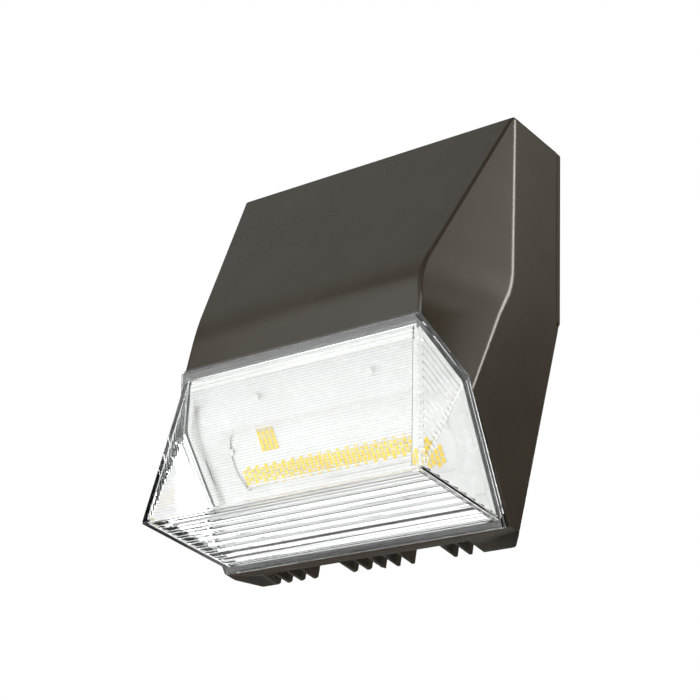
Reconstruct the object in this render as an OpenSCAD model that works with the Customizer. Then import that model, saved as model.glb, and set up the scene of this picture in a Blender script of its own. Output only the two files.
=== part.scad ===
// Hinged LED wall pack light with a clear prismatic lens.
// Frame: X to the right, Y into the wall, Z up. The origin is the centre of the wire entry on the wall face.
// A "drop" is a distance down from the top edge, and a "depth" is a distance out from the wall.
// The lens stands on a sloping rim plane: there V runs up the slope and W points out of the body.

/* [Casting outline] */
// Width across the side walls
body_w = 203; // [196:1:212]
// Height of the part that lies against the wall
box_h = 115; // [112:1:119]
// Depth of the top edge
top_depth = 52.5; // [49:0.5:57]
// Depth of the bend in the front panel
belly_depth = 112; // [108:0.5:115]
// Drop of the bend in the front panel
belly_drop = 118.5; // [115:0.5:122]
// Distance from the side wall's line in to the front panel's edge, at its bend
belly_inset = 21; // [18:0.5:25]
// Drop of the bend in each side crease
knee_drop = 110.5; // [106:0.5:114]
// Length of the soft bends, measured each way
soft_bend = 13; // [9:1:15]
// Wall of the casting
wall = 3; // [2.6:0.1:3.4]
// Cut that softens the outside edges
edge_cut = 2; // [1.2:0.1:2.4]
// Width of the lip under the lens
lip_t = 7.5; // [6.5:0.1:8]

/* [Lens] */
// Depth of the lens at its top edge
lens_top_depth = 114.5; // [113:0.5:117]
// Drop of the top edge of the lens
lens_top_drop = 145.5; // [142:0.5:148]
// Distance from the side wall's line in to the top corner of the lens
lens_top_inset = 18.25; // [16.5:0.25:20.5]
// Depth of the lowest edge of the lens
nose_depth = 125.5; // [121:0.5:129]
// Drop of the lowest edge of the lens
nose_drop = 240.5; // [236:0.5:243]
// Distance from the side wall's line in to the lowest corner of the lens
nose_inset = 6.5; // [5:0.5:8.5]
// Depth of the back edge of the lens
lens_foot_depth = 45.5; // [44:0.5:47]
// Drop of the back edge of the lens
lens_foot_drop = 248.5; // [246:0.5:250]
// Distance from the side wall's line in to the back corner of the lens
lens_foot_inset = 4; // [3.5:0.25:5.5]
// Distance from the side wall's line in to the widest corner of the lens flange
flank_inset = 0.2; // [0:0.1:1.4]
// Wall of the lens
lens_wall = 2.6; // [2.2:0.1:3]
// Thickness of the lens flange
flange_t = 4; // [3:0.25:5]
// Step from the flange edge in to the lens wall
flange_step = 2.4; // [1.6:0.1:3]
// Pitch of the large ribs on the lens floor
floor_rib_pitch = 8.7; // [8.2:0.1:9.2]
// Height of the large ribs on the lens floor
floor_rib_h = 1.2; // [0.8:0.1:1.6]
// Number of large ribs on the lens floor
floor_ribs = 7; // [5:1:7]
// Pitch of the fine prisms inside the lens front
front_rib_pitch = 1.9; // [1.7:0.1:2.1]
// Height of those prisms
front_rib_h = 0.5; // [0.4:0.1:0.7]
// Number of those prisms
front_ribs = 44; // [38:1:44]
// Pitch of the ribs inside each lens side
side_rib_pitch = 3.8; // [3.4:0.1:4.2]
// Height of those ribs
side_rib_h = 0.8; // [0.5:0.1:1]
// Number of those ribs on a side
side_ribs = 14; // [10:1:14]

/* [Fins] */
// Thickness of a fin
fin_t = 2; // [1.6:0.1:2.4]
// Pitch of the middle fins
fin_pitch = 10; // [9.5:0.1:10.5]
// Number of middle fins
mid_fins = 5; // [3:2:5]
// Distance from the middle to the first fin of each side group
side_fin_x = 48.8; // [47.5:0.1:50]
// Pitch of the side fins
side_fin_pitch = 9.7; // [9.3:0.1:10.1]
// Number of fins in a side group
side_fins = 4; // [3:1:4]
// Height of the closed end blocks beside the fins
end_block_h = 9; // [7:0.5:11]

/* [Back box] */
// Thickness of the back plate
plate_t = 4; // [3.6:0.1:4.6]
// Height of the rim that stands on the back plate
rim_h = 12; // [10:0.5:13]
// Thickness of that rim
rim_t = 2.5; // [2.2:0.1:3]
// Radius of the wire entry
entry_r = 11; // [9:0.5:13]
// Spacing of the junction box screws
box_screw_spacing = 88.9; // [83.3:0.1:92]
// Half width of the junction box screw slots
box_screw_r = 2.3; // [2:0.1:2.6]
// End to end length of the junction box screw slots
box_slot_l = 12; // [9:0.5:13]
// Distance from the side of the back plate to the wall screws
wall_screw_side = 16.5; // [14.5:0.5:19.5]
// Distance from the top and bottom of the back plate to the wall screws
wall_screw_end = 17.5; // [15.5:0.5:20.5]
// Radius of the wall screw holes
wall_screw_r = 2.8; // [2.4:0.1:3.1]

/* [Hinge and captive screws] */
// Radius of the hinge pin
pin_r = 1.5; // [1.3:0.1:1.7]
// Radius of the hinge barrels
barrel_r = 2.8; // [2.6:0.1:3.1]
// Length of one hinge barrel
barrel_l = 7; // [5.5:0.5:8.5]
// Distance from the middle to each hinge
hinge_x = 62; // [54:1:70]
// Distance from the middle to each captive screw
captive_x = 34.4; // [34:0.1:35]
// Radius of the captive screw shank
captive_r = 2.4; // [2.2:0.1:2.5]
// Radius of the captive screw head
captive_head_r = 4.5; // [4.2:0.1:4.9]

/* [Light engine] */
// Depth of the recess behind the lens
chamber_d = 12; // [11.6:0.1:12.6]
// Distance from the side wall's line in to the end of the LED board
board_inset = 23.5; // [22:0.5:24.5]
// Pitch of the LED packages along the board
led_pitch_x = 3.25; // [3.15:0.01:3.27]
// Pitch of the LED packages across the board
led_pitch_v = 3.6; // [3.55:0.01:3.65]
// Rows of LED packages
led_rows = 3; // [2:1:4]
// Sheet of the reflector
reflector_t = 0.8; // [0.7:0.05:0.9]

/* [Driver] */
// Length of the driver case
driver_l = 124; // [116:1:127]
// Depth of the driver case
driver_d = 38; // [34:1:40]
// Height of the driver case
driver_h = 26; // [23:1:28]

/* [Hidden] */

// Overruns, fits and gaps
over = 1;
big = 2 * body_w;
slice = 0.02;
turning_gap = 0.08;
press_gap = 0.02;
seat_gap = 0.1;
seam = 0.4;
loose = 0.3;
edge_steps = 3;
bend_steps = 8;
fine = 48;

// Casting outline
top_z = box_h / 2;
half_w = body_w / 2;
belly_w = body_w - 2 * belly_inset;
lens_top_w = body_w - 2 * lens_top_inset;
nose_w = body_w - 2 * nose_inset;
lens_foot_w = body_w - 2 * lens_foot_inset;
flank_w = body_w - 2 * flank_inset;
knee_bend_share = 0.75;
knee_bend = knee_bend_share * soft_bend;
back_bend = 6;
side_draft = 0.02;
heel_depth = 22.4;
heel_fall = 3.1;
heel_drop = lens_foot_drop + heel_fall;
heel_bevel_x = 11.7;
heel_bevel_y = 15.4;
heel_cut = 2.2;
corner_start = 0.6;
ease_share = 0.45;
back_strip = 6;
end_drop = heel_drop + 4 * wall;
lean = (belly_depth - top_depth) / belly_drop;
lower_lean = (lens_top_depth - belly_depth) / (lens_top_drop - belly_drop);
corner_lean = (body_w - belly_w) / (2 * belly_drop);
lower_corner_lean = (belly_w - lens_top_w) / (2 * (lens_top_drop - belly_drop));
back_lean = heel_depth / (heel_drop - box_h);
sole_lean = heel_fall / (lens_foot_depth - heel_depth);

// Rim plane
foot_y = -lens_foot_depth;
foot_z = top_z - lens_foot_drop;
rim_rise = lens_foot_drop - lens_top_drop;
rim_reach = lens_top_depth - lens_foot_depth;
rim_len = sqrt(rim_rise * rim_rise + rim_reach * rim_reach);
rim_turn = atan2(rim_rise, -rim_reach);
up_slope = [-rim_reach, rim_rise] / rim_len;
out_slope = [-rim_rise, -rim_reach] / rim_len;
flank_share = 0.68;
flank_depth = lens_foot_depth + flank_share * rim_reach;
flank_drop = lens_foot_drop - flank_share * rim_rise;
knee_lean = (flank_depth - top_depth) / (flank_drop - knee_drop);

// Door
door_back = plate_t + seam;
duct_inset = 31.5;
right_block_l = 34.5;
left_block_l = 25.5;
ledge_h = 4;
base_t = 4;
land = 9;
shelf_z = top_z - lens_top_drop + base_t;
floor_z = -top_z + wall;
right_block_x = half_w - right_block_l;
left_block_x = half_w - left_block_l;
duct_x = half_w - duct_inset;
duct_y = -98;
duct_r = 5.5;
duct_bore_r = 3;
duct_low = foot_z + (rim_len - land) * up_slope.y - chamber_d * out_slope.y - 3 * wall;
grommet_bore_r = 2.2;
grommet_flange_r = 4.5;
grommet_flange_t = 1.5;

// Hinge line and barrels
hinge_y = -(plate_t + barrel_r);
hinge_z = top_z + barrel_r + loose;

// Captive screws, their ears and nuts
rim_gap = 2.2;
ear_z = floor_z + rim_gap;
ear_w = 20;
ear_reach = 6;
ear_front = plate_t + rim_h + ear_reach;
slot_back = 1;
captive_y = -(plate_t + rim_h - slot_back);
slot_gap = 0.4;
boss_r = 6;
boss_h = 8.5;
head_h = 3;
recess_r = 1.9;
recess_d = 1.6;
nut_w = 8;
nut_h = 4;
nut_guard_t = 1.5;
nut_guard_h = 3;
washer_t = 0.8;
washer_r = 4.2;
captive_end = 1.2;

// Gaskets
wall_gasket_t = 1;
wall_gasket_inset = 8;
corner_r = 2.5;
groove_w = 1.8;
groove_d = 1.4;
seal_t = 0.8;
seal_inset = 0.8;
seal_w = 6;

// Wall screws and ground screw
wall_screw_dx = body_w - 2 * wall_screw_side;
wall_screw_dz = box_h - 2 * wall_screw_end;
ground_inset = 21.5;
ground_x = ground_inset - half_w;
ground_z = -28;
ground_boss_r = 5;
ground_boss_h = 4;
ground_r = 1.8;
ground_head_r = 4;
ground_head_h = 2.6;
ground_clamp_r = 4.6;
ground_clamp_t = 1;
ground_floor = 1;
ground_clamp_y = plate_t + ground_boss_h;
ground_head_y = ground_clamp_y + ground_clamp_t + seat_gap;

// LED board, its screws and its connector, in the rim plane's V and W
board_l = body_w - 2 * board_inset;
led_end = 9.5;
led_x = -2.9;
led_cols = 2 * floor((board_l - 2 * led_end) / (2 * led_pitch_x));
led_v = 43.7;
board_low = 32;
board_high = 84;
pedestal_h = 1.8;
pad_t = 0.5;
board_t = 1.6;
board_face = -chamber_d + pedestal_h + pad_t + board_t;
led_l = 2.8;
led_w = 3.5;
led_h = 0.7;
patch_from_end = 32;
patch_x = patch_from_end - board_l / 2;
patch_v = 65;
patch_cols = 4;
patch_rows = 4;
screw_r = 1.5;
low_head_r = 2.5;
low_head_h = 1.3;
board_screw_from_end = 3.2;
board_screw_x = board_l / 2 - board_screw_from_end;
board_screw_low = 34.7;
board_screw_high = 62;
screw_depth = 6.5;
connector_l = 8;
connector_w = 6;
connector_h = 2;
connector_v = board_high - connector_w / 2;

// Reflector
window_low = 34;
window_high = 74;
window_inset = 31;
window_bulge = 5;
window_steps = 8;
rib_root = 0.1;
rib_margin = 3;
floor_rib_from = 10;
front_rib_from = 7;
side_rib_from = 7;
dish_low = -6.4;
dish_high = 0.1;
dish_margin = 1.2;
dish_inset = land + 0.3;
reflector_screw_from_end = 38;
reflector_screw_x = board_l / 2 - reflector_screw_from_end;
reflector_screw_low = 20;
reflector_screw_high = 95;
dish_tilt_gap = 0.95;
reflector_boss_r = 3;
pan_head_h = 1.1;

// Driver
driver_front_gap = 4.63;
driver_foot = floor_z + seat_gap;
driver_y = front_y(top_z - driver_foot - driver_h) + wall + driver_front_gap + driver_d / 2;
driver_wall = 1.2;
driver_foot_t = 1.6;
driver_foot_l = 10;
driver_screw_r = 1.6;
driver_boss_r = 4;
driver_boss_h = 5;

// Leads
led_wire_r = 0.8;
led_wire_dx = 1.1;
line_wire_r = 1.1;
lead_x = driver_l / 2;
lead_low_z = -46;
lead_end = [[111, -10.8], [106, -10.6], [98, -10.4], [92, -8.6], [88, -6.9], [86, -6.9], [board_high, -6.9]];
led_lead_route = concat([[lead_x, -76, -44], [lead_x + 1.5, -76, -44], [lead_x + 3, -76, -44], [duct_x - 1, -79, -44],
  [duct_x, -88, -44], [duct_x, -95, -46.5], [duct_x, duct_y, -54], [duct_x, duct_y, -70], [duct_x, duct_y, -86]],
  [for (p = lead_end) rim_place(duct_x, p[0], p[1])]);
wire_sides = 8;
wire_steps = 3;
conn_w = 8;
conn_l = 16;
conn_h = 11;
conn_y = -46;
conn_z = floor_z + seat_gap;
conn_side = 17.5;
conn_step = 12;
conn_places = [conn_side - half_w, conn_side + conn_step - half_w];
conn_mid = conn_z + conn_h / 2;
line_x = conn_places[0];
neutral_x = conn_places[1];
line_route = [[-lead_x, -76, -40], [-lead_x - 3, -76, -40], [-lead_x - 6, -76, -40], [line_x + 8, -77, -33], [line_x, -75, -22],
  [line_x - 2, -68, -15], [line_x - 2, -61, -20], [line_x - 1, -57, -32], [line_x, -54, -44], [line_x, -51, conn_mid],
  [line_x, -48.5, conn_mid], [line_x, conn_y, conn_mid]];
neutral_route = [[-lead_x, -66, -40], [-lead_x - 2, -66, -40], [-lead_x - 4, -66, -40], [neutral_x + 1, -64, -33],
  [neutral_x - 2, -60, -23], [neutral_x - 2, -55, -20], [neutral_x - 1, -52, -28], [neutral_x, -52, -40],
  [neutral_x, -50.5, conn_mid], [neutral_x, -48.5, conn_mid], [neutral_x, conn_y, conn_mid]];

// A value that changes with slope s1 above the drop at and slope s2 below it, blended over w each way
function bend(d, at, s1, s2, w) =
  d <= at - w ? s1 * d :
  d >= at + w ? s1 * at + s2 * (d - at) :
  s1 * d + (s2 - s1) * pow(d - at + w, 2) / (4 * w);

function front_y(d) = -top_depth - bend(d, belly_drop, lean, lower_lean, soft_bend);
function corner_x(d) = half_w - bend(d, belly_drop, corner_lean, lower_corner_lean, soft_bend);
function crease_y(d) = -top_depth - bend(d, knee_drop, 0, knee_lean, knee_bend);
function side_x(d) = half_w - bend(d, box_h, 0, side_draft, back_bend);
function back_y(d) = -bend(d, box_h, 0, back_lean, back_bend);
function heel_share(d) = max(0, d - box_h) / (heel_drop - box_h);
function strip_x(d) = side_x(d) - back_strip - (heel_bevel_x - back_strip) * heel_share(d);

// Outline of the casting at one drop, counterclockwise seen from above
function outline(d) =
  let (half = [[corner_x(d) - corner_start, front_y(d)], [side_x(d), crease_y(d) + corner_start],
    [side_x(d), back_y(d) - heel_bevel_y * heel_share(d)], [strip_x(d), back_y(d)]])
  concat(half, [for (i = [3:-1:0]) [-half[i].x, half[i].y]]);

// Polygon helpers: the outward normal of an edge, a polygon moved inwards, and one with softened corners
function outward(a, b) = let (d = b - a) [d.y, -d.x] / norm(d);
function inset(p, w) = let (n = len(p)) [for (i = [0:n - 1])
  let (u = outward(p[(i + n - 1) % n], p[i]), v = outward(p[i], p[(i + 1) % n])) p[i] - w * (u + v) / (1 + u * v)];
function part_way(p, q, cut) = p + min(cut / norm(q - p), ease_share) * (q - p);
function eased(p, cut, steps) = let (n = len(p)) [for (i = [0:n - 1])
  let (s = part_way(p[i], p[(i + n - 1) % n], cut), e = part_way(p[i], p[(i + 1) % n], cut))
  for (k = [0:steps]) let (t = k / steps) (1 - t) * (1 - t) * s + 2 * t * (1 - t) * p[i] + t * t * e];

// Outline moved inwards, where the narrow front corners keep a least width
function shrunk(d, w) =
  let (q = inset(outline(d), w), x = min(q[0].x, side_x(d) - w - corner_start), y = max(q[1].y, front_y(d) + w + corner_start))
  [[x, q[0].y], [q[1].x, y], q[2], q[3], q[4], q[5], [q[6].x, y], [-x, q[7].y]];
function at_drop(p, d) = [for (q = p) [q.x, q.y, top_z - d]];

// Drops at which the casting gets a section, from one drop to another
bend_start = knee_drop - knee_bend;
bend_end = belly_drop + soft_bend;
bend_drops = [for (k = [0:bend_steps]) bend_start + k * (bend_end - bend_start) / bend_steps];
function drops(from, to) = concat([from], [for (d = bend_drops) if (d > from + over && d < to - over) d], [to]);

// A solid stretched over rings of points; each ring is counterclockwise seen along the way from first to last
module skin(rings) {
  n = len(rings[0]);
  last = (len(rings) - 1) * n;
  sides = [for (i = [0:len(rings) - 2]) for (j = [0:n - 1])
    let (a = i * n + j, b = i * n + (j + 1) % n) each [[a, b, b + n], [a, b + n, a + n]]];
  caps = [[for (j = [n - 1:-1:0]) j], [for (j = [0:n - 1]) last + j]];
  polyhedron(points = [for (r = rings) each r], faces = concat(sides, caps));
}

// A tube along a smooth curve through a route of points
function unit(v) = v / norm(v);
function spline(a, b, c, d, t) =
  (2 * b + (c - a) * t + (2 * a - 5 * b + 4 * c - d) * t * t + (3 * b - a - 3 * c + d) * t * t * t) / 2;
function curve(r) = let (n = len(r)) concat([for (i = [0:n - 2]) for (k = [0:wire_steps - 1])
  spline(r[max(i - 1, 0)], r[i], r[i + 1], r[min(i + 2, n - 1)], k / wire_steps)], [r[n - 1]]);
function heading(c, i) = unit(c[min(i + 1, len(c) - 1)] - c[max(i - 1, 0)]);
function carried(c, i) = let (h = heading(c, i), s = i == 0 ? (abs(h.x) < abs(h.z) ? [1, 0, 0] : [0, 0, 1]) :
  carried(c, i - 1)) unit(s - (s * h) * h);
module tube(route, r) {
  c = curve(route);
  skin([for (i = [0:len(c) - 1]) let (s = carried(c, i), q = cross(heading(c, i), s))
    [for (k = [0:wire_sides - 1]) let (a = 360 * k / wire_sides) c[i] + r * (cos(a) * q + sin(a) * s)]]);
}

// Turned and flat stock
module across(x0, x1, r) translate([x0, 0, 0]) rotate([0, 90, 0]) cylinder(h = x1 - x0, r = r, $fn = fine);
module out_of_wall(y0, y1, r) translate([0, -y0, 0]) rotate([90, 0, 0]) cylinder(h = y1 - y0, r = r, $fn = fine);
module upright(z0, z1, r) translate([0, 0, z0]) cylinder(h = z1 - z0, r = r, $fn = fine);
module box(from, to) translate(from) cube(to - from);
module card(w, h, r) {
  square([w - 2 * r, h], center = true);
  square([w, h - 2 * r], center = true);
  for (sx = [-1, 1], sy = [-1, 1]) translate([sx * (w / 2 - r), sy * (h / 2 - r)]) circle(r = r, $fn = fine);
}
module slab(y0, y1, w, h, r) translate([0, -y0, 0]) rotate([90, 0, 0]) linear_extrude(y1 - y0) card(w, h, r);

// Places on the rim plane
function rim_point(v, w) = [foot_y, foot_z] + v * up_slope + w * out_slope;
function rim_place(x, v, w) = let (p = rim_point(v, w)) [x, p.x, p.y];
module on_rim() translate([0, foot_y, foot_z]) rotate([rim_turn, 0, 0]) children();
module beyond_rim(w) on_rim() translate([-big / 2, -big / 2, w]) cube(big);
rim_half = [[lens_foot_w / 2, 0], [flank_w / 2, flank_share * rim_len], [lens_top_w / 2, rim_len]];
rim_outline = concat(rim_half, [for (i = [2:-1:0]) [-rim_half[i].x, rim_half[i].y]]);
module rim_plate(w0, w1, outline) on_rim() translate([0, 0, w0]) linear_extrude(w1 - w0) polygon(outline);

captive_places = [-captive_x, captive_x];
hinge_places = [-hinge_x, hinge_x];

// The back plate, its rim, ears and hinge barrels
module back_plate() {
  rim_w = body_w - 2 * (wall + rim_gap);
  rim_tall = box_h - 2 * (wall + rim_gap);
  gasket_mid = body_w - wall;
  color([0.31, 0.28, 0.25]) difference() {
    union() {
      slab(0, plate_t, body_w, box_h, corner_r);
      difference() {
        slab(plate_t - over, plate_t + rim_h, rim_w, rim_tall, corner_r);
        slab(0, plate_t + rim_h + over, rim_w - 2 * rim_t, rim_tall - 2 * rim_t, corner_r);
      }
      for (x = captive_places) translate([x, 0, 0]) {
        box([-ear_w / 2, -ear_front, ear_z], [ear_w / 2, -plate_t - over, ear_z + rim_t]);
        for (s = [-1, 1]) translate([s * (nut_w / 2 + slot_gap + nut_guard_t / 2), 0, 0])
          box([-nut_guard_t / 2, -ear_front, ear_z + over], [nut_guard_t / 2, -plate_t - over, ear_z + rim_t + nut_guard_h]);
      }
      for (x = hinge_places) translate([x, 0, 0]) {
        box([-barrel_l / 2, -plate_t, top_z - over], [barrel_l / 2, 0, hinge_z + barrel_r]);
        box([-barrel_l / 2, hinge_y, hinge_z], [barrel_l / 2, 0, hinge_z + barrel_r]);
        translate([0, hinge_y, hinge_z]) across(-barrel_l / 2, barrel_l / 2, barrel_r);
      }
      translate([ground_x, 0, ground_z]) out_of_wall(plate_t - over, plate_t + ground_boss_h, ground_boss_r);
    }
    for (x = captive_places) translate([x, 0, 0]) {
      translate([0, captive_y, 0]) upright(ear_z - over, ear_z + rim_t + over, captive_r + slot_gap);
      box([-captive_r - slot_gap, -ear_front - over, ear_z - over], [captive_r + slot_gap, captive_y, ear_z + rim_t + over]);
    }
    for (x = hinge_places) translate([x, hinge_y, hinge_z]) across(-barrel_l, barrel_l, pin_r + press_gap);
    difference() {
      slab(plate_t - groove_d, plate_t + over, gasket_mid + groove_w, box_h - wall + groove_w, corner_r);
      slab(0, plate_t + over, gasket_mid - groove_w, box_h - wall - groove_w, corner_r);
    }
    slab(-over, wall_gasket_t, body_w - 2 * wall_gasket_inset, box_h - 2 * wall_gasket_inset, corner_r);
    out_of_wall(-over, plate_t + over, entry_r);
    screw_slots(-over, plate_t + over, box_screw_r);
    wall_screw_holes(-over, plate_t + over, wall_screw_r);
    translate([ground_x, 0, ground_z]) out_of_wall(wall_gasket_t + ground_floor, plate_t + rim_h, ground_r + press_gap);
  }
}

// Slots for the screws of a junction box, level with the wire entry
module screw_slots(y0, y1, r) for (s = [-1, 1]) translate([s * box_screw_spacing / 2, -y0, 0]) rotate([90, 0, 0])
  linear_extrude(y1 - y0) {
    square([box_slot_l - 2 * r, 2 * r], center = true);
    for (e = [-1, 1]) translate([e * (box_slot_l / 2 - r), 0]) circle(r = r, $fn = fine);
  }

// Holes for screws straight into the wall
module wall_screw_holes(y0, y1, r) for (sx = [-1, 1], sz = [-1, 1])
  translate([sx * wall_screw_dx / 2, 0, sz * wall_screw_dz / 2]) out_of_wall(y0, y1, r);

// Foam gasket in the back of the plate
module wall_gasket() color([0.12, 0.12, 0.12]) difference() {
  slab(0, wall_gasket_t, body_w - 2 * (wall_gasket_inset + seat_gap), box_h - 2 * (wall_gasket_inset + seat_gap), corner_r);
  out_of_wall(-over, wall_gasket_t + over, entry_r);
  screw_slots(-over, wall_gasket_t + over, box_screw_r);
  wall_screw_holes(-over, wall_gasket_t + over, wall_screw_r);
}

// Silicone gasket in the groove that the door's edge closes on
module door_gasket() {
  mid_w = body_w - wall;
  mid_h = box_h - wall;
  fit_w = groove_w - 2 * seat_gap;
  color([0.75, 0.75, 0.73]) difference() {
    slab(plate_t - groove_d, plate_t + seam - seat_gap, mid_w + fit_w, mid_h + fit_w, corner_r);
    slab(0, plate_t + seam + over, mid_w - fit_w, mid_h - fit_w, corner_r);
  }
}

module hinge_pins() {
  half_l = 1.5 * barrel_l + loose;
  color([0.75, 0.76, 0.78]) for (x = hinge_places)
    translate([x, hinge_y, hinge_z]) across(-half_l, half_l, pin_r);
}

module ground_screw() color([0.16, 0.5, 0.24]) translate([ground_x, 0, ground_z]) difference() {
  union() {
    out_of_wall(wall_gasket_t + ground_floor + seat_gap, ground_head_y + slice, ground_r);
    out_of_wall(ground_head_y, ground_head_y + ground_head_h, ground_head_r);
  }
  for (a = [0, 90]) rotate([0, a, 0]) box([-ground_head_r - over, -ground_head_y - ground_head_h - over, -slot_gap],
    [ground_head_r + over, -ground_head_y - ground_head_h / 2, slot_gap]);
}

module ground_clamp() color([0.72, 0.7, 0.62]) translate([ground_x, 0, ground_z]) difference() {
  out_of_wall(ground_clamp_y, ground_clamp_y + ground_clamp_t, ground_clamp_r);
  out_of_wall(plate_t, plate_t + rim_h, ground_r + turning_gap);
}

// Inside of the door behind the front panel
function room(d) = let (q = shrunk(d, wall))
  [q[0], q[1], [q[1].x, over], [-q[1].x, over], q[6], q[7]];
module driver_room() skin([for (d = drops(wall, box_h - wall)) at_drop(room(d), d)]);

// Bay behind the lens, open at the back and at the bottom, that the fins stand in
function bay_slot(d) = let (x = strip_x(d) - wall, y = outline(d)[2].y - 2 * wall)
  [[x, y], [x, big / 2], [-x, big / 2], [-x, y]];
module fin_bay() difference() {
  union() {
    skin([for (d = drops(box_h, end_drop)) at_drop(shrunk(d, wall), d)]);
    skin([for (d = drops(box_h + ledge_h, end_drop)) at_drop(bay_slot(d), d)]);
  }
  intersection() {
    beyond_rim(-chamber_d - base_t);
    box([-big, -big, -big], [big, foot_y + lip_t, shelf_z]);
  }
  box([-big, -door_back - wall, -top_z - ledge_h], [big, over, -top_z + over]);
  for (x = [for (i = [0:mid_fins - 1]) (i - (mid_fins - 1) / 2) * fin_pitch]) fin(x);
  for (i = [0:side_fins - 1], s = [-1, 1]) fin(s * (side_fin_x + i * side_fin_pitch));
  sole_block(right_block_x, big / 2);
  sole_block(-big / 2, -left_block_x);
  translate([duct_x, duct_y, 0]) upright(shelf_z - over, -top_z + over, duct_r);
  box([duct_x - duct_r, -belly_depth, shelf_z - over], [duct_x + duct_r, duct_y, -top_z + over]);
  for (x = captive_places) translate([x, captive_y, 0]) upright(-top_z - boss_h, -top_z + over, boss_r);
  for (p = driver_screw_places) translate([p.x, p.y, 0]) upright(-top_z - driver_boss_h, -top_z + over, driver_boss_r);
}
module fin(x) box([x - fin_t / 2, -big, -big], [x + fin_t / 2, big, over]);
module sole_plane(z0) translate([0, foot_y, foot_z]) rotate([-atan(sole_lean), 0, 0])
  translate([-big / 2, -big / 2, z0]) cube([big, big, big]);
module sole_block(x0, x1) difference() {
  box([x0, -big / 2, -big], [x1, big / 2, 0]);
  sole_plane(end_block_h);
}

// Recess that holds the LED board and the reflector
chamber_outline = inset(rim_outline, land);
module chamber() difference() {
  rim_plate(-chamber_d, over, chamber_outline);
  on_rim() translate([-board_l / 2, board_low, -chamber_d - over]) cube([board_l, board_high - board_low, pedestal_h + over]);
  on_rim() for (p = reflector_screw_places) translate([p.x, p.y, 0]) upright(-chamber_d - over, dish_floor(p.y) - dish_tilt_gap, reflector_boss_r);
}

driver_screw_places = [for (s = [-1, 1]) [s * (driver_l + driver_foot_l) / 2, driver_y]];
board_screw_places = [for (sx = [-1, 1], v = [board_screw_low, board_screw_high]) [sx * board_screw_x, v]];
reflector_screw_places = [for (sx = [-1, 1], v = [reflector_screw_low, reflector_screw_high]) [sx * reflector_screw_x, v]];

// Die-cast door: front panel, side walls, lens seat, fins and hinge barrels in one piece
crown = [for (k = [0:edge_steps]) let (a = 90 * k / edge_steps) [edge_cut * (1 - sin(a)), edge_cut * (1 - cos(a))]];
function softened(d, w) = at_drop(eased(shrunk(d, w), edge_cut, edge_steps), d);
module casting() skin(concat([for (c = crown) softened(c[1], c[0])],
  [for (d = drops(edge_cut + over, end_drop)) softened(d, 0)]));

module door_housing() color([0.31, 0.28, 0.25]) difference() {
  union() {
    difference() {
      casting();
      driver_room();
      fin_bay();
      box([-big, -door_back, -top_z - seam], [big, big, big]);
    }
    for (x = hinge_places, s = [-1, 1]) translate([x + s * (barrel_l + loose), hinge_y, 0]) {
      translate([0, 0, hinge_z]) across(-barrel_l / 2, barrel_l / 2, barrel_r);
      box([-barrel_l / 2, -barrel_r, top_z - wall / 2], [barrel_l / 2, -hinge_y - door_back, hinge_z]);
    }
  }
  beyond_rim(0);
  translate([0, foot_y, foot_z]) rotate([-atan(sole_lean), 0, 0]) translate([-big / 2, -big / 2, -big]) cube(big);
  translate([-big / 2, -heel_depth, top_z - heel_drop]) rotate([45, 0, 0]) cube([big, heel_cut, heel_cut], center = true);
  chamber();
  for (x = hinge_places) translate([x, hinge_y, hinge_z]) across(-2 * barrel_l, 2 * barrel_l, pin_r + turning_gap);
  for (x = captive_places) translate([x, captive_y, 0]) upright(-top_z - boss_h - over, floor_z + over, captive_r + turning_gap);
  translate([duct_x, duct_y, 0]) upright(duct_low, floor_z + over, duct_bore_r);
  for (p = driver_screw_places) translate([p.x, p.y, 0]) upright(-top_z - driver_boss_h + wall / 2, floor_z + over, driver_screw_r + press_gap);
  on_rim() for (p = concat(board_screw_places)) translate([p.x, p.y, 0]) upright(board_face - screw_depth, 0, screw_r + press_gap);
  on_rim() for (p = reflector_screw_places) translate([p.x, p.y, 0]) upright(dish_floor(p.y) - screw_depth, 0, screw_r + press_gap);
}

// Lens: a clear wedge with a flange, open at the rim plane. The nose is given as V and W.
nose = let (d = [lens_foot_depth - nose_depth, lens_foot_drop - nose_drop]) [d * up_slope, d * out_slope];
lens_base = inset(rim_outline, flange_step);
module wedge(base, w, tip) polyhedron(
  points = concat([for (p = base) [p.x, p.y, w]], [[tip.x, tip.y, tip.z], [-tip.x, tip.y, tip.z]]),
  faces = [[0, 1, 2, 3, 4, 5], [3, 2, 6, 7], [7, 6, 0, 5], [2, 1, 6], [1, 0, 6], [3, 7, 4], [4, 7, 5]]);

// Hollow of the lens, moved in by a wall all round and by a further margin at its sides
lens_profile = [[lens_base[0].y, seal_t], [lens_base[2].y, seal_t], nose];
function hollow_profile(t) = let (k = (nose.y - seal_t + over + t) / (nose.y - seal_t))
  inset([for (p = lens_profile) nose + k * (p - nose)], t);
module hollow(t, margin) {
  h = hollow_profile(t);
  q = inset(lens_base, t + margin);
  wedge([[q[0].x, h[0].x], q[1], [q[2].x, h[1].x], [q[3].x, h[1].x], q[4], [q[5].x, h[0].x]], h[0].y,
    [nose_w / 2 - t - margin, h[2].x, h[2].y]);
}

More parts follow.
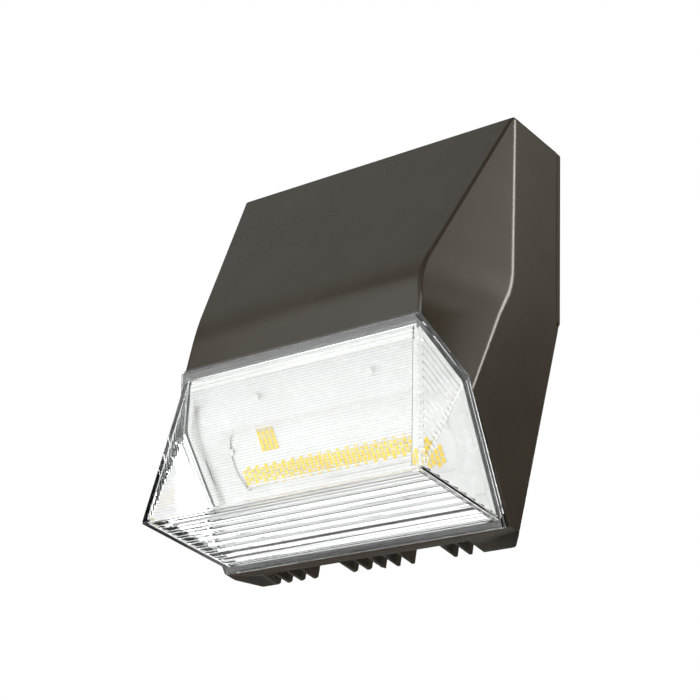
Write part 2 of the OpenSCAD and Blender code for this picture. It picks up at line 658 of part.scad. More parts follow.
module lens() color([0.86, 0.9, 0.92, 0.4]) on_rim() {
  h = hollow_profile(lens_wall);
  difference() {
    union() {
      wedge(lens_base, seal_t, [nose_w / 2, nose.x, nose.y]);
      translate([0, 0, seal_t]) linear_extrude(flange_t) polygon(rim_outline);
    }
    hollow(lens_wall, 0);
  }
  intersection() {
    hollow(lens_wall - loose, rib_margin);
    union() {
      ribs(h[0], h[2], floor_rib_from, floor_rib_pitch, floor_rib_h, floor_ribs);
      ribs(h[1], h[2], front_rib_from, front_rib_pitch, front_rib_h, front_ribs);
    }
  }
  intersection() {
    hollow(lens_wall - loose, 0);
    for (s = [0, 1]) mirror([s, 0, 0]) side_rib_strip();
  }
}

// The ribs inside the right side of the lens, along the edge that runs from its top corner to its widest corner
module side_rib_strip() {
  h = hollow_profile(lens_wall);
  q = inset(lens_base, lens_wall);
  top = [q[2].x, h[1].x, h[0].y];
  flank = [q[1].x, q[1].y, h[0].y];
  tip = [nose_w / 2 - lens_wall, h[2].x, h[2].y];
  along = unit(flank - top);
  inward = unit(cross(flank - top, tip - top));
  down = cross(inward, along);
  root = [for (i = [0:side_ribs]) top + (side_rib_from + i * side_rib_pitch) * down + rib_root * inward];
  teeth = [for (i = [0:side_ribs - 1]) each [root[i], root[i + 1] + side_rib_h * inward]];
  sunk = (rib_root + 2 * loose) * inward;
  ring = concat(teeth, [root[side_ribs]], [root[side_ribs] - sunk, root[0] - sunk]);
  intersection() {
    skin([for (k = [-1, 1]) [for (p = ring) p + k * half_w * along]]);
    translate(rib_margin * along) hollow(lens_wall - loose, 0);
  }
}

// A strip of ribs on the inside of one wall, which runs from one corner of the hollow's profile to another
module ribs(from, to, start, pitch, h, count) {
  along = (to - from) / norm(to - from);
  aside = [along.y, -along.x];
  inward = (hollow_profile(lens_wall)[1] - hollow_profile(lens_wall)[0]) * aside > 0 && from.x < to.x ? aside : -aside;
  root = [for (i = [0:count]) from + (start + i * pitch) * along + rib_root * inward];
  teeth = [for (i = [0:count - 1]) each [root[i], root[i + 1] + h * inward]];
  sunk = [root[count] - (rib_root + 2 * loose) * inward, root[0] - (rib_root + 2 * loose) * inward];
  translate([-half_w, 0, 0]) rotate([90, 0, 90]) linear_extrude(body_w) polygon(concat(teeth, [root[count]], sunk));
}

module lens_seal() color([0.55, 0.55, 0.55]) on_rim() linear_extrude(seal_t) difference() {
  polygon(inset(rim_outline, seal_inset));
  polygon(inset(rim_outline, seal_inset + seal_w));
}

// Reflector: a shallow faceted dish round the LED packages
// Window over the board, with ends that bulge outwards
function window(margin) = let (mid = (window_low + window_high) / 2, half = (window_high - window_low) / 2)
  [for (s = [1, -1], k = [0:window_steps]) let (t = 2 * k / window_steps - 1)
    [s * (half_w - window_inset + margin + window_bulge * (1 - t * t)), mid + s * t * (half + margin)]];
dish_rim = inset(rim_outline, dish_inset);

// Height in W of the dish's underside, above or below the window
function dish_floor(v) = let (low = v < led_v, from = low ? window_low - dish_margin : window_high + dish_margin,
  to = low ? dish_inset : rim_len - dish_inset)
  dish_low + (dish_high - dish_low) * (v - from) / (to - from);

module dish(lift) translate([0, 0, lift]) hull() {
  translate([0, 0, dish_low]) linear_extrude(slice) polygon(window(dish_margin));
  translate([0, 0, dish_high]) linear_extrude(slice) polygon(dish_rim);
}
module reflector() color([0.93, 0.93, 0.92]) on_rim() difference() {
  union() {
    dish(0);
    translate([0, 0, dish_high]) linear_extrude(reflector_t) polygon(inset(rim_outline, seal_inset + seal_w + seat_gap));
  }
  dish(reflector_t);
  translate([0, 0, dish_low - over]) linear_extrude(2 * over + reflector_t) polygon(window(0));
  for (p = reflector_screw_places) translate([p.x, p.y, 0]) upright(dish_low - over, 0, screw_r + loose);
}

module reflector_screws() color([0.8, 0.8, 0.8]) on_rim() for (p = reflector_screw_places) translate([p.x, p.y, 0]) {
  upright(dish_floor(p.y) - screw_depth + seat_gap, dish_floor(p.y) + reflector_t + dish_tilt_gap + slice, screw_r);
  upright(dish_floor(p.y) + reflector_t + dish_tilt_gap, dish_floor(p.y) + reflector_t + dish_tilt_gap + pan_head_h, low_head_r);
}

// LED board with its pad, packages, screws and connector
module board_plate(w0, w1) rim_plate(w0, w1, [[board_l / 2, board_low], [board_l / 2, board_high],
  [-board_l / 2, board_high], [-board_l / 2, board_low]]);
module board_holes() on_rim() for (p = board_screw_places) translate([p.x, p.y, 0]) upright(-chamber_d, over, screw_r + press_gap);

module thermal_pad() color([0.55, 0.62, 0.72]) difference() {
  board_plate(board_face - board_t - pad_t, board_face - board_t);
  board_holes();
}

module led_board() color([0.93, 0.93, 0.9]) difference() {
  board_plate(board_face - board_t, board_face);
  board_holes();
}

// Packages in staggered columns, and a small group beside them
module led_packages() color([0.98, 0.82, 0.2]) on_rim() {
  for (i = [0:led_cols - 1], j = [0:led_rows - 1]) package(led_x + (i - (led_cols - 1) / 2) * led_pitch_x,
    led_v + (j - (led_rows - 1) / 2 + (i % 2 - 1 / 2) / 2) * led_pitch_v);
  for (i = [0:patch_cols - 1], j = [0:patch_rows - 1]) package(patch_x + (i - (patch_cols - 1) / 2) * led_pitch_x,
    patch_v + (j - (patch_rows - 1) / 2) * led_pitch_v);
}
module package(x, v) translate([x - led_l / 2, v - led_w / 2, board_face]) cube([led_l, led_w, led_h]);

module led_board_screws() color([0.8, 0.8, 0.8]) on_rim() for (p = board_screw_places) translate([p.x, p.y, 0]) {
  upright(board_face - screw_depth + seat_gap, board_face + slice, screw_r);
  upright(board_face, board_face + low_head_h, low_head_r);
}

module led_connector() color([0.95, 0.94, 0.9]) on_rim() difference() {
  translate([duct_x - connector_l / 2, connector_v - connector_w / 2, board_face]) cube([connector_l, connector_w, connector_h]);
  for (s = [-1, 1]) translate([duct_x + s * connector_l / 4, connector_v, board_face])
    upright(connector_h / 2, connector_h + over, led_wire_r / 2);
}

// Driver: case, lid, potting and screws
module driver_case() color([0.85, 0.86, 0.87]) difference() {
  union() {
    box([-driver_l / 2, driver_y - driver_d / 2, driver_foot], [driver_l / 2, driver_y + driver_d / 2, driver_foot + driver_h - driver_wall]);
    box([-driver_l / 2 - driver_foot_l, driver_y - driver_d / 4, driver_foot],
      [driver_l / 2 + driver_foot_l, driver_y + driver_d / 4, driver_foot + driver_foot_t]);
  }
  box([-driver_l / 2 + driver_wall, driver_y - driver_d / 2 + driver_wall, driver_foot + driver_wall],
    [driver_l / 2 - driver_wall, driver_y + driver_d / 2 - driver_wall, driver_foot + driver_h]);
  for (p = driver_screw_places) translate([p.x, p.y, 0]) upright(driver_foot - over, driver_foot + driver_foot_t + over, driver_screw_r + press_gap);
}
module driver_lid() color([0.8, 0.81, 0.82]) box(
  [-driver_l / 2, driver_y - driver_d / 2, driver_foot + driver_h - driver_wall], [driver_l / 2, driver_y + driver_d / 2, driver_foot + driver_h]);
module driver_potting() color([0.15, 0.15, 0.15]) box(
  [-driver_l / 2 + driver_wall, driver_y - driver_d / 2 + driver_wall, driver_foot + driver_wall],
  [driver_l / 2 - driver_wall, driver_y + driver_d / 2 - driver_wall, driver_foot + driver_h - driver_wall - seat_gap]);
module driver_screws() color([0.8, 0.8, 0.8]) for (p = driver_screw_places) translate([p.x, p.y, 0]) {
  upright(-top_z - driver_boss_h + wall / 2 + seat_gap, driver_foot + driver_foot_t + slice, driver_screw_r);
  upright(driver_foot + driver_foot_t, driver_foot + driver_foot_t + head_h / 2, 2 * driver_screw_r);
}

// Leads from the driver to the LED board, down through the sealed duct
module led_lead(dx) tube([for (p = led_lead_route) p + (p.z > lead_low_z ? [0, 0, 2 * dx] : [dx, 0, 0])], led_wire_r);
module led_lead_red() color([0.75, 0.08, 0.06]) led_lead(led_wire_dx);
module led_lead_black() color([0.07, 0.07, 0.07]) led_lead(-led_wire_dx);

module duct_grommet() color([0.1, 0.1, 0.1]) translate([duct_x, duct_y, 0]) difference() {
  union() {
    upright(-top_z, floor_z + slice, duct_bore_r - press_gap);
    upright(floor_z, floor_z + grommet_flange_t, grommet_flange_r);
  }
  upright(-top_z - over, floor_z + grommet_flange_t + over, grommet_bore_r);
}

// Supply leads and their push-in connectors
module push_in_connectors() color([0.9, 0.9, 0.92]) for (x = conn_places) translate([x, conn_y, conn_z]) difference() {
  box([-conn_w / 2, 0, 0], [conn_w / 2, conn_l, conn_h]);
  for (s = [-1, 1]) translate([s * conn_w / 4, 0, conn_h / 2]) out_of_wall(-conn_l - over, -conn_l / 2, line_wire_r);
}
module line_lead() color([0.07, 0.07, 0.07]) tube(line_route, line_wire_r);
module neutral_lead() color([0.93, 0.93, 0.9]) tube(neutral_route, line_wire_r);

// Captive screws, with the nuts that clamp the ears and the washers that keep the screws in the door
nut_z = ear_z + rim_t + seat_gap;
module clamp_nuts() color([0.75, 0.76, 0.78]) for (x = captive_places) translate([x, captive_y, 0]) difference() {
  box([-nut_w / 2, -nut_w / 2, nut_z], [nut_w / 2, nut_w / 2, nut_z + nut_h]);
  upright(nut_z - over, nut_z + nut_h + over, captive_r + turning_gap);
}
module retaining_washers() color([0.9, 0.9, 0.88]) for (x = captive_places) translate([x, captive_y, 0]) difference() {
  upright(floor_z + seat_gap, floor_z + seat_gap + washer_t, washer_r);
  upright(floor_z, floor_z + rim_gap, captive_r + turning_gap);
}
module captive_screw(x) color([0.75, 0.76, 0.78]) translate([x, captive_y, 0]) difference() {
  union() {
    upright(-top_z - boss_h - seat_gap - slice, nut_z + nut_h + captive_end, captive_r);
    upright(-top_z - boss_h - seat_gap - head_h, -top_z - boss_h - seat_gap, captive_head_r);
  }
  for (a = [0, 90]) translate([0, 0, -top_z - boss_h - seat_gap - head_h]) rotate([0, 0, a])
    cube([2 * recess_r, recess_r / 2, 2 * recess_d], center = true);
}
module captive_screw_left() captive_screw(-captive_x);
module captive_screw_right() captive_screw(captive_x);

back_plate();
wall_gasket();
door_gasket();
hinge_pins();
ground_screw();
ground_clamp();
door_housing();
lens();
lens_seal();
reflector();
reflector_screws();
led_board();
thermal_pad();
led_packages();
led_board_screws();
led_connector();
led_lead_red();
led_lead_black();
duct_grommet();
driver_case();
driver_lid();
driver_potting();
driver_screws();
line_lead();
neutral_lead();
push_in_connectors();
clamp_nuts();
retaining_washers();
captive_screw_left();
captive_screw_right();
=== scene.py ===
import math

import bmesh
import bpy
from mathutils import Matrix, Vector


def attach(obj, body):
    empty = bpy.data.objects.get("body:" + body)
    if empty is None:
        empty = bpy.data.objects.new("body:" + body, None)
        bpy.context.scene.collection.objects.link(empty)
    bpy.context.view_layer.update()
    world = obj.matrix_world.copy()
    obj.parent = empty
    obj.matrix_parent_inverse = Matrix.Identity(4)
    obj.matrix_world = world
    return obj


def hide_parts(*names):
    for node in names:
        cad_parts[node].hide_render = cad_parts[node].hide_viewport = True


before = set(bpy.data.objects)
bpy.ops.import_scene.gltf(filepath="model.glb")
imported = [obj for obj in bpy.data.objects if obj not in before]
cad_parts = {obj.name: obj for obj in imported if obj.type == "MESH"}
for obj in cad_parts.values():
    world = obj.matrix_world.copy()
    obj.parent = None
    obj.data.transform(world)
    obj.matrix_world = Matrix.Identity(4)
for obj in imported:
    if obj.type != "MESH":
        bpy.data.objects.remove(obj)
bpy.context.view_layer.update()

# Lengths are in millimetres until a piece is finished. MM turns them into metres.
MM = 0.001

# Sizes that the pieces share, as in the part's source
HALF_W = 101.5
TOP_Z = 57.5
PLATE_FRONT = 4.0
DOOR_BACK = 4.4
LENS_TOP = (114.5, 145.5)
LENS_FOOT = (45.5, 248.5)
LENS_NOSE = (125.5, 240.5)
RISE = LENS_FOOT[1] - LENS_TOP[1]
REACH = LENS_TOP[0] - LENS_FOOT[0]
RIM_LEN = math.hypot(RISE, REACH)
UP = (-REACH / RIM_LEN, RISE / RIM_LEN)
OUT = (-RISE / RIM_LEN, -REACH / RIM_LEN)
SEAL_T = 0.8
LENS_WALL = 2.6
FLANGE_T = 4.0
FLANGE_STEP = 2.4
NOSE_X = 95.0
OVERRUN = 1.0
BOARD_FACE = -8.1
LED_AT = (-2.9, 43.7)
LED_PITCH = (3.25, 3.6)
LED_COUNT = (42, 3)
PATCH_AT = (-46.0, 65.0)
PATCH_COUNT = (4, 4)

# From the lens seat's own axes, X along it, V up the slope and W out of the casting, to the model's
SEAT = Matrix((
    (MM, 0, 0, 0),
    (0, MM * UP[0], MM * OUT[0], -MM * LENS_FOOT[0]),
    (0, MM * UP[1], MM * OUT[1], MM * (TOP_Z - LENS_FOOT[1])),
    (0, 0, 0, 1),
))

# Clean-up: in metres how near points are merged and how short an edge goes, in degrees how flat a bend
# goes, and in millimetres how thin a sliver of the lens goes
MERGE_WITHIN = 2e-6
SHORTEST = 1e-6
FLATTEST = 0.3
THINNEST = 0.002

# Creases, in degrees, up to which each piece is smooth
CAST_CREASE = 32.0
LENS_CREASE = 25.0
DISH_CREASE = 28.0
PLAIN_CREASE = 35.0

# Softened edges of the castings: their widths, the least bend that is softened, and how near to a face
# an edge counts as on it
DOOR_EDGE = 0.45
PLATE_EDGE = 0.7
LEAST_BEND = 20
ON_FACE = 0.05
RIM_STRIP = 0.6
FLANK_X = 94
PLATE_BORDER = 3
SEAM_REACH = 0.1

# Lens: the widths of its rounded edges, and each step of its flange as an inset and a share of its thickness
LENS_EDGE = 0.9
HOLLOW_EDGE = 0.7
RIB_CLIP_EDGE = 0.4
FLANGE_EDGE = 0.45
FLANGE_STEPS = ((0.5, 0.45), (1.5, 1.0))

# Ribs: count, facets each, pitch, height and bow. A strip's start and its margin at the sides follow.
FLOOR_RIBS = ((9, 6, 8.4, 2.4, 0.6), 0.5, 2.0)
FRONT_PRISMS = ((42, 3, 1.9, 0.38, 0.3), 11.6, 5.0)
TOP_PRISMS = ((3, 3, 3.0, 0.95, 0.3), 2.2, 5.0)
SIDE_RIBS = (17, 2, 3.3, 0.9, 0.3)
SIDE_RIBS_START = 3
RIB_ROOT = 0.7
RIB_SINK = 0.3
RIB_LIFT = 0.1

# Reflector: its inner rings as half a length, low and high end, bulge and height, its outer rings as the
# seat's outline less an inset and a height, the points round a ring, and the sheet's thickness
DISH_WINDOWS = (
    (70.5, 34, 74, 5, -7.6),
    (71.2, 33.3, 74.7, 5.1, -6.9),
    (77.0, 30, 78, 5.6, -4.8),
    (78.0, 29.5, 78.5, 5.7, -4.6),
    (86.5, 20, 98, 5.5, -4.1),
)
DISH_EDGES = ((9.6, -0.2), (9.2, 0.1), (7.0, 0.1))
WINDOW_STEPS = 10
DISH_POINTS = 144
DISH_MIDDLE_SHARE = 0.45
DISH_T = 0.7

# LED package: each block's size, lowest and highest point over the board, and edge
PACKAGE_FRAME = ((2.8, 3.5), 0, 0.5, 0.12)
PACKAGE_PHOSPHOR = ((2.4, 3.1), 0.3, 0.7, 0.15)
ROW_STAGGER = 0.5


# Mesh helpers

def mesh_from(bm, name):
    """The bmesh as a mesh of that name, with its faces pointing outwards."""
    bmesh.ops.recalc_face_normals(bm, faces=bm.faces)
    return kept_mesh(bm, name)


def kept_mesh(bm, name):
    """The bmesh as a mesh of that name, with its faces as they are."""
    mesh = bpy.data.meshes.new(name)
    bm.to_mesh(mesh)
    bm.free()
    return mesh


def opened(mesh):
    """A bmesh of the mesh."""
    bm = bmesh.new()
    bm.from_mesh(mesh)
    return bm


def put(mesh, name):
    """An object for the mesh, at the origin."""
    obj = bpy.data.objects.new(name, mesh)
    bpy.context.scene.collection.objects.link(obj)
    return obj


def take(obj, name):
    """The object's mesh with its modifiers applied. The object goes."""
    bpy.context.view_layer.update()
    depsgraph = bpy.context.evaluated_depsgraph_get()
    mesh = bpy.data.meshes.new_from_object(obj.evaluated_get(depsgraph), depsgraph=depsgraph)
    mesh.name = name
    bpy.data.objects.remove(obj, do_unlink=True)
    return mesh


def combined(first, second, how):
    """The union, difference or intersection of two closed meshes."""
    obj, other = put(first, "work_a"), put(second, "work_b")
    cut = obj.modifiers.new("cut", "BOOLEAN")
    cut.operation = how
    cut.solver = "MANIFOLD"
    cut.object = other
    mesh = take(obj, "work")
    bpy.data.objects.remove(other, do_unlink=True)
    return mesh


def finished(mesh, name, material, body, stands_for=(), crease=PLAIN_CREASE, weighted=False):
    """A piece of the object: smooth up to the crease angle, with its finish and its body."""
    mesh.name = name
    for polygon in mesh.polygons:
        polygon.use_smooth = True
    mesh.set_sharp_from_angle(angle=math.radians(crease))
    mesh.materials.clear()
    mesh.materials.append(material)
    obj = put(mesh, name)
    if weighted:
        even = obj.modifiers.new("even_normals", "WEIGHTED_NORMAL")
        even.keep_sharp = True
    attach(obj, body)
    if stands_for:
        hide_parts(*stands_for)
    return obj


def merged_copy(node):
    """A copy of a CAD node's mesh whose triangles are joined up."""
    bm = opened(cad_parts[node].data)
    bmesh.ops.remove_doubles(bm, verts=bm.verts, dist=MERGE_WITHIN)
    bmesh.ops.dissolve_degenerate(bm, edges=bm.edges, dist=SHORTEST)
    return kept_mesh(bm, node)


def edges_softened(mesh, chosen, width):
    """The mesh with its chosen edges bevelled. An edge is chosen by its middle point."""
    bm = opened(mesh)
    bmesh.ops.dissolve_limit(bm, angle_limit=math.radians(FLATTEST), verts=bm.verts, edges=bm.edges)
    bent = [e for e in bm.edges if len(e.link_faces) == 2 and e.calc_face_angle(0) > math.radians(LEAST_BEND)]
    edges = [e for e in bent if chosen((e.verts[0].co + e.verts[1].co) / (2 * MM))]
    bmesh.ops.bevel(bm, geom=edges, offset=width * MM, segments=2, profile=0.5, affect="EDGES",
                    clamp_overlap=True)
    bmesh.ops.triangulate(bm, faces=[f for f in bm.faces if len(f.verts) > 4])
    return kept_mesh(bm, mesh.name)


def without_slivers(mesh):
    """The mesh with the thinnest faces that cuts leave taken out."""
    bm = opened(mesh)
    bmesh.ops.triangulate(bm, faces=bm.faces)
    bmesh.ops.dissolve_degenerate(bm, edges=bm.edges, dist=THINNEST)
    return kept_mesh(bm, mesh.name)


def drawn_up(outline, low, high):
    """A bmesh of a flat outline drawn up between two heights."""
    bm = bmesh.new()
    base = bm.faces.new([bm.verts.new((x, v, low)) for x, v in outline])
    top = bmesh.ops.extrude_face_region(bm, geom=[base])
    verts = [g for g in top["geom"] if isinstance(g, bmesh.types.BMVert)]
    bmesh.ops.translate(bm, verts=verts, vec=(0, 0, high - low))
    bmesh.ops.recalc_face_normals(bm, faces=bm.faces)
    return bm


def plate(outline, low, high, soft):
    """A flat plate over an outline, with its upper and lower edges softened."""
    bm = drawn_up(outline, low, high)
    flat = [e for e in bm.edges if abs(e.verts[0].co.z - e.verts[1].co.z) < 1e-6]
    bmesh.ops.bevel(bm, geom=flat, offset=soft, segments=3, profile=0.5, affect="EDGES")
    return mesh_from(bm, "plate")


def block(size, low, high, soft):
    """A low block with softened upright and upper edges."""
    x, y = size[0] / 2, size[1] / 2
    bm = drawn_up(((-x, -y), (x, -y), (x, y), (-x, y)), low, high)
    edges = [e for e in bm.edges if max(v.co.z for v in e.verts) > high - 1e-6]
    bmesh.ops.bevel(bm, geom=edges, offset=soft, segments=1, profile=0.5, affect="EDGES")
    return mesh_from(bm, "block")


def joined(meshes):
    """Several meshes as one."""
    bm = bmesh.new()
    for mesh in meshes:
        bm.from_mesh(mesh)
    return kept_mesh(bm, "joined")


# Outlines on the lens seat

def mirrored(half):
    """An outline from its right half, counterclockwise."""
    return half + [(-x, v) for x, v in reversed(half)]


def inset(outline, width):
    """A counterclockwise outline moved inwards."""
    n = len(outline)

    def outward(a, b):
        return Vector((b[1] - a[1], a[0] - b[0])).normalized()

    moved = []
    for i in range(n):
        before = outward(outline[i - 1], outline[i])
        after = outward(outline[i], outline[(i + 1) % n])
        shift = width * (before + after) / (1 + before.dot(after))
        moved.append((outline[i][0] - shift.x, outline[i][1] - shift.y))
    return moved


SEAT_OUTLINE = mirrored([(97.5, 0.0), (101.3, 0.68 * RIM_LEN), (83.25, RIM_LEN)])
LENS_BASE = inset(SEAT_OUTLINE, FLANGE_STEP)
FALL = (LENS_FOOT[0] - LENS_NOSE[0], LENS_FOOT[1] - LENS_NOSE[1])
NOSE = (FALL[0] * UP[0] + FALL[1] * UP[1], FALL[0] * OUT[0] + FALL[1] * OUT[1])


# Node helpers

def maths_in(nodes, links):
    """A function that adds a math node for numbers or sockets and gives its output."""
    def maths(how, *values):
        node = nodes.new("ShaderNodeMath")
        node.operation = how
        for socket, value in zip(node.inputs, values):
            if isinstance(value, (int, float)):
                socket.default_value = value
            else:
                links.new(value, socket)
        return node.outputs[0]

    return maths


def painted_result(nodes, links, shape, material, result):
    """The end of a tree: real geometry, with its material."""
    real = nodes.new("GeometryNodeRealizeInstances")
    links.new(shape, real.inputs[0])
    painted = nodes.new("GeometryNodeSetMaterial")
    links.new(real.outputs[0], painted.inputs["Geometry"])
    links.new(material, painted.inputs["Material"])
    links.new(painted.outputs[0], result.inputs[0])


def new_tree(name, inputs):
    """An empty geometry tree with those named inputs. It comes with their identifiers."""
    tree = bpy.data.node_groups.new(name, "GeometryNodeTree")
    face = tree.interface
    face.new_socket("Geometry", in_out="INPUT", socket_type="NodeSocketGeometry")
    sockets = [face.new_socket(n, in_out="INPUT", socket_type="NodeSocket" + kind) for n, kind in inputs]
    face.new_socket("Geometry", in_out="OUTPUT", socket_type="NodeSocketGeometry")
    return tree, [s.identifier for s in sockets]


def grown(tree, identifiers, values):
    """The mesh that the tree makes from those inputs."""
    obj = put(bpy.data.meshes.new("grown"), "grown")
    grow = obj.modifiers.new("grow", "NODES")
    grow.node_group = tree
    for identifier, value in zip(identifiers, values):
        grow[identifier] = value
    return take(obj, "grown")


# Clear lens

def wedge(base, low, tip, soft, segments):
    """The lens's wedge shape with rounded edges. Its points are the base's, then the two lowest corners."""
    bm = bmesh.new()
    points = [(x, v, low) for x, v in base] + [tip, (-tip[0], tip[1], tip[2])]
    verts = [bm.verts.new(p) for p in points]
    for face in ((5, 4, 3, 2, 1, 0), (2, 3, 7, 6), (6, 7, 5, 0), (1, 2, 6), (0, 1, 6), (3, 4, 7), (4, 5, 7)):
        bm.faces.new([verts[i] for i in face])
    bmesh.ops.recalc_face_normals(bm, faces=bm.faces)
    rounded = ((2, 6), (3, 7), (1, 6), (4, 7), (0, 6), (5, 7), (6, 7))
    edges = [bm.edges.get((verts[a], verts[b])) for a, b in rounded]
    bmesh.ops.bevel(bm, geom=edges, offset=soft, segments=segments, profile=0.5, affect="EDGES",
                    clamp_overlap=True)
    return mesh_from(bm, "wedge")


def hollow_profile(t):
    """Side view of the lens's hollow for a wall, in V and W: foot, top and nose."""
    grow = (NOSE[1] - SEAL_T + OVERRUN + t) / (NOSE[1] - SEAL_T)
    corners = [(LENS_BASE[0][1], SEAL_T), (LENS_BASE[2][1], SEAL_T), NOSE]
    larger = [(NOSE[0] + grow * (v - NOSE[0]), NOSE[1] + grow * (w - NOSE[1])) for v, w in corners]
    return inset(larger, t)


def hollow(t, margin, soft):
    """The space inside the lens, for a wall and a further margin at the sides."""
    h = hollow_profile(t)
    q = inset(LENS_BASE, t + margin)
    base = [(q[0][0], h[0][0]), q[1], (q[2][0], h[1][0]), (q[3][0], h[1][0]), q[4], (q[5][0], h[0][0])]
    return wedge(base, h[0][1], (NOSE_X - t - margin, h[2][0], h[2][1]), soft, 3)


def rib_clip(margin):
    """The space that the ribs may fill, a little into the walls."""
    return hollow(LENS_WALL - RIB_SINK, margin, RIB_CLIP_EDGE)


def rib_tree():
    """Geometry nodes for a strip of saw-tooth ribs: X is across them, Y is their height, Z is along them."""
    tree, identifiers = new_tree("saw_tooth_ribs", (
        ("Rib count", "Int"), ("Facets", "Int"), ("Pitch", "Float"), ("Height", "Float"), ("Bow", "Float"),
        ("Length", "Float"), ("Depth in wall", "Float"), ("Material", "Material")))
    nodes, links = tree.nodes, tree.links
    maths = maths_in(nodes, links)
    given, result = nodes.new("NodeGroupInput"), nodes.new("NodeGroupOutput")

    # The outline's points: a first and a last one in the wall, and each rib's facets up to its tip between
    number, facets, pitch, bow = (given.outputs[n] for n in ("Rib count", "Facets", "Pitch", "Bow"))
    per_rib = maths("ADD", facets, 1)
    last = maths("ADD", maths("MULTIPLY", number, per_rib), 2)
    line = nodes.new("GeometryNodeMeshLine")
    links.new(maths("ADD", last, 1), line.inputs["Count"])
    index = nodes.new("GeometryNodeInputIndex").outputs[0]
    step = maths("SUBTRACT", index, 1)
    rib = maths("FLOOR", maths("DIVIDE", maths("ADD", step, 0.01), per_rib))
    share = maths("DIVIDE", maths("SUBTRACT", step, maths("MULTIPLY", rib, per_rib)), facets)
    reach = maths("MULTIPLY", maths("ADD", rib, share), pitch)
    across = maths("MAXIMUM", maths("MINIMUM", reach, maths("MULTIPLY", number, pitch)), 0)
    bowed = maths("SINE", maths("MULTIPLY", share, math.pi / 2))
    rise = maths("ADD", maths("MULTIPLY", share, maths("SUBTRACT", 1, bow)), maths("MULTIPLY", bowed, bow))
    is_first = maths("LESS_THAN", index, 0.5)
    at_end = maths("ADD", is_first, maths("GREATER_THAN", index, maths("SUBTRACT", last, 0.5)))
    raised = maths("MULTIPLY", rise, maths("SUBTRACT", 1, at_end))
    height = maths("MULTIPLY", raised, given.outputs["Height"])
    sunk = maths("MULTIPLY", at_end, given.outputs["Depth in wall"])
    place = nodes.new("ShaderNodeCombineXYZ")
    links.new(across, place.inputs[0])
    links.new(maths("SUBTRACT", height, sunk), place.inputs[1])
    shaped = nodes.new("GeometryNodeSetPosition")
    links.new(line.outputs[0], shaped.inputs["Geometry"])
    links.new(place.outputs[0], shaped.inputs["Position"])

    # Closed, filled and drawn out along the ribs
    curve = nodes.new("GeometryNodeMeshToCurve")
    links.new(shaped.outputs[0], curve.inputs["Mesh"])
    ring = nodes.new("GeometryNodeSetSplineCyclic")
    ring.inputs["Cyclic"].default_value = True
    links.new(curve.outputs[0], ring.inputs[0])
    filled = nodes.new("GeometryNodeFillCurve")
    filled.mode = "NGONS"
    links.new(ring.outputs[0], filled.inputs[0])
    way = nodes.new("ShaderNodeCombineXYZ")
    links.new(given.outputs["Length"], way.inputs[2])
    drawn = nodes.new("GeometryNodeExtrudeMesh")
    drawn.inputs["Individual"].default_value = False
    drawn.inputs["Offset Scale"].default_value = 1
    links.new(filled.outputs[0], drawn.inputs["Mesh"])
    links.new(way.outputs[0], drawn.inputs["Offset"])
    back = nodes.new("GeometryNodeFlipFaces")
    links.new(filled.outputs[0], back.inputs[0])
    both = nodes.new("GeometryNodeJoinGeometry")
    links.new(drawn.outputs[0], both.inputs[0])
    links.new(back.outputs[0], both.inputs[0])
    closed = nodes.new("GeometryNodeMergeByDistance")
    closed.inputs["Distance"].default_value = 0.001
    links.new(both.outputs[0], closed.inputs[0])
    painted_result(nodes, links, closed.outputs[0], given.outputs["Material"], result)
    return tree, identifiers


def rib_strip(tree, identifiers, ribs, material, start, across, inward, along):
    """A strip of ribs as long as the casting is wide, in the seat's axes. Its middle line passes start."""
    mesh = grown(tree, identifiers, (*ribs, 2 * HALF_W, RIB_ROOT, material))
    turn = Matrix((across, inward, along)).transposed().to_4x4()
    mesh.transform(Matrix.Translation(start + RIB_LIFT * inward - HALF_W * along) @ turn)
    return mesh_from(opened(mesh), "strip")


def front_and_floor_ribs(tree, identifiers, material):
    """The ribs inside the floor and the prisms inside the front, each cut to its place."""
    foot, top, nose = (Vector((0, v, w)) for v, w in hollow_profile(LENS_WALL))
    middle = (foot + top + nose) / 3
    strips = []
    for near, far, (ribs, first, margin) in (
            (nose, foot, FLOOR_RIBS), (top, nose, FRONT_PRISMS), (top, nose, TOP_PRISMS)):
        across = (far - near).normalized()
        inward = Vector((0, across.z, -across.y))
        if inward.dot(middle - near) < 0:
            inward = -inward
        strip = rib_strip(tree, identifiers, ribs, material, near + first * across, across, inward,
                          across.cross(inward))
        strips.append(combined(strip, rib_clip(margin), "INTERSECT"))
    return strips


def side_ribs(tree, identifiers, material):
    """The ribs inside both sides, each cut to its place."""
    q = inset(LENS_BASE, LENS_WALL)
    foot, top, nose = hollow_profile(LENS_WALL)
    upper = Vector((q[2][0], top[0], foot[1]))
    flank = Vector((q[1][0], q[1][1], foot[1]))
    tip = Vector((NOSE_X - LENS_WALL, nose[0], nose[1]))
    along = (flank - upper).normalized()
    inward = (flank - upper).cross(tip - upper).normalized()
    down = inward.cross(along)
    first = upper + SIDE_RIBS_START * down
    right = rib_strip(tree, identifiers, SIDE_RIBS, material, first, down, inward, along)
    start = rib_clip(0)
    start.transform(Matrix.Translation(SIDE_RIBS_START * along))
    right = combined(right, start, "INTERSECT")
    left = right.copy()
    left.transform(Matrix.Scale(-1, 4, (1, 0, 0)))
    left.flip_normals()
    return [combined(side, rib_clip(0), "INTERSECT") for side in (right, left)]


